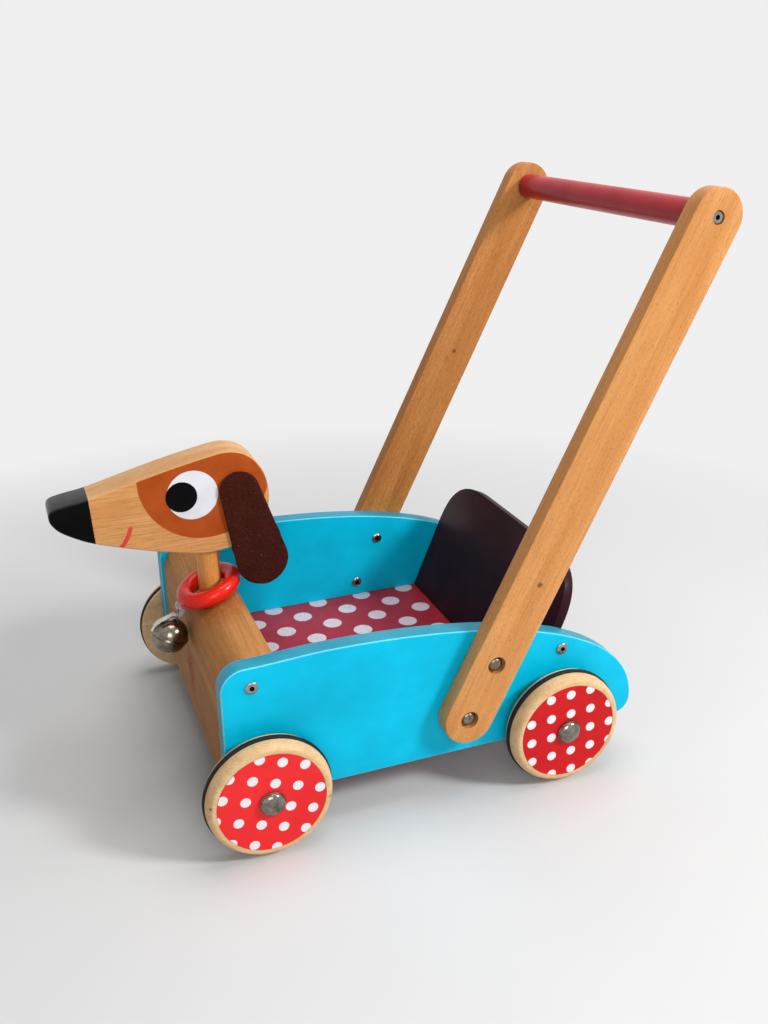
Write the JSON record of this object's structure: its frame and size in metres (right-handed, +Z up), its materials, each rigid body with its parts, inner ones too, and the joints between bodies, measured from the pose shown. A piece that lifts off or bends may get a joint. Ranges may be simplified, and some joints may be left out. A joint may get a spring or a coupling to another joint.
{
  "type": "toddler push cart",
  "caption": "Wooden push-along dog cart for a toddler: open tray on wheels, leaning handles with a grip bar, dog's head with felt ears and a bell on its collar.",
  "frame": {"origin": "on the floor, under the middle of the whole cart's length and width", "axes": "+Z up, the dog looks towards -X, the axles lie along Y"},
  "size_m": [0.477, 0.3178, 0.4534],
  "materials": {
    "blue_paint": "satin, painted",
    "dotted_red": "satin, painted with pale dots",
    "aubergine_paint": "satin, painted",
    "beech": "satin varnish",
    "neck_beech": "satin varnish",
    "pale_beech": "satin varnish",
    "grip_red": "gloss, painted",
    "ring_red": "gloss, painted",
    "face_red": "satin print with white dots",
    "tread_rubber": "matte",
    "chrome": "polished",
    "steel": "satin",
    "nylon": "matte",
    "felt": "felt",
    "cotton": "twisted cotton"
  },
  "bodies": {
    "cart": {"side_panel_left": "blue_paint", "side_panel_right": "blue_paint", "floor_board": "dotted_red", "front_block": "beech", "rear_board": "aubergine_paint", "hub_cap_front_left": "chrome", "wheel_washer_front_left": "nylon", "hub_cap_front_right": "chrome", "wheel_washer_front_right": "nylon", "axle_front": "steel", "hub_cap_rear_left": "chrome", "wheel_washer_rear_left": "nylon", "hub_cap_rear_right": "chrome", "wheel_washer_rear_right": "nylon", "axle_rear": "steel", "handle_left": "beech", "handle_bolt_left_lower": "steel", "handle_nut_left_lower": "chrome", "handle_bolt_left_upper": "steel", "handle_nut_left_upper": "chrome", "grip_screw_left": "steel", "panel_screw_left_front_upper": "steel", "panel_screw_left_front_lower": "steel", "panel_screw_left_rear_upper": "steel", "panel_screw_left_rear_lower": "steel", "handle_right": "beech", "handle_bolt_right_lower": "steel", "handle_nut_right_lower": "chrome", "handle_bolt_right_upper": "steel", "handle_nut_right_upper": "chrome", "grip_screw_right": "steel", "panel_screw_right_front_upper": "steel", "panel_screw_right_front_lower": "steel", "panel_screw_right_rear_upper": "steel", "panel_screw_right_rear_lower": "steel", "grip_bar": "grip_red", "head_block": "beech", "neck_dowel": "neck_beech", "cord_neck_loop": "cotton"},
    "wheel_front_left_body": {"wheel_front_left": "pale_beech", "tread_front_left": "tread_rubber", "wheel_face_front_left": "face_red"},
    "wheel_front_right_body": {"wheel_front_right": "pale_beech", "tread_front_right": "tread_rubber", "wheel_face_front_right": "face_red"},
    "wheel_rear_left_body": {"wheel_rear_left": "pale_beech", "tread_rear_left": "tread_rubber", "wheel_face_rear_left": "face_red"},
    "wheel_rear_right_body": {"wheel_rear_right": "pale_beech", "tread_rear_right": "tread_rubber", "wheel_face_rear_right": "face_red"},
    "ear_left_flap": {"ear_left": "felt"},
    "ear_right_flap": {"ear_right": "felt"},
    "collar": {"collar_ring": "ring_red"},
    "cord": {"cord_long_strand": "cotton", "cord_short_strand": "cotton"},
    "bell": {"bell_upper_shell": "chrome", "bell_lower_shell": "chrome"},
    "clapper": {"bell_clapper": "steel"}
  },
  "joints": [
    {"name": "wheel_front_left_spin", "type": "hinge", "parent": "cart", "child": "wheel_front_left_body", "pos_m": [-0.11903, -0.143, 0.048], "axis": [0, 1, 0], "continuous": true},
    {"name": "wheel_front_right_spin", "type": "hinge", "parent": "cart", "child": "wheel_front_right_body", "pos_m": [-0.11903, 0.143, 0.048], "axis": [0, 1, 0], "continuous": true},
    {"name": "wheel_rear_left_spin", "type": "hinge", "parent": "cart", "child": "wheel_rear_left_body", "pos_m": [0.12097, -0.143, 0.048], "axis": [0, 1, 0], "continuous": true},
    {"name": "wheel_rear_right_spin", "type": "hinge", "parent": "cart", "child": "wheel_rear_right_body", "pos_m": [0.12097, 0.143, 0.048], "axis": [0, 1, 0], "continuous": true},
    {"name": "ear_left_swing", "type": "hinge", "parent": "cart", "child": "ear_left_flap", "pos_m": [-0.09853, -0.0153, 0.2495], "axis": [-1, 0, 0], "range_deg": [0, 70]},
    {"name": "ear_right_swing", "type": "hinge", "parent": "cart", "child": "ear_right_flap", "pos_m": [-0.09853, 0.0153, 0.2495], "axis": [1, 0, 0], "range_deg": [0, 70]},
    {"name": "collar_slide", "type": "slide", "parent": "cart", "child": "collar", "axis": [0, 0, 1], "range_m": [0, 0.013]},
    {"name": "cord_swing", "type": "hinge", "parent": "cart", "child": "cord", "pos_m": [-0.14983, 0.005, 0.1369], "axis": [0, 1, 0], "range_deg": [0, 35]},
    {"name": "bell_swing", "type": "hinge", "parent": "cord", "child": "bell", "pos_m": [-0.15284, -0.004, 0.13208], "axis": [1, 0, 0], "range_deg": [-36, 36]},
    {"name": "clapper_roll", "type": "hinge", "parent": "bell", "child": "clapper", "pos_m": [-0.15943, -0.004, 0.1149], "axis": [1, 0, 0], "range_deg": [-50, 50]}
  ]
}
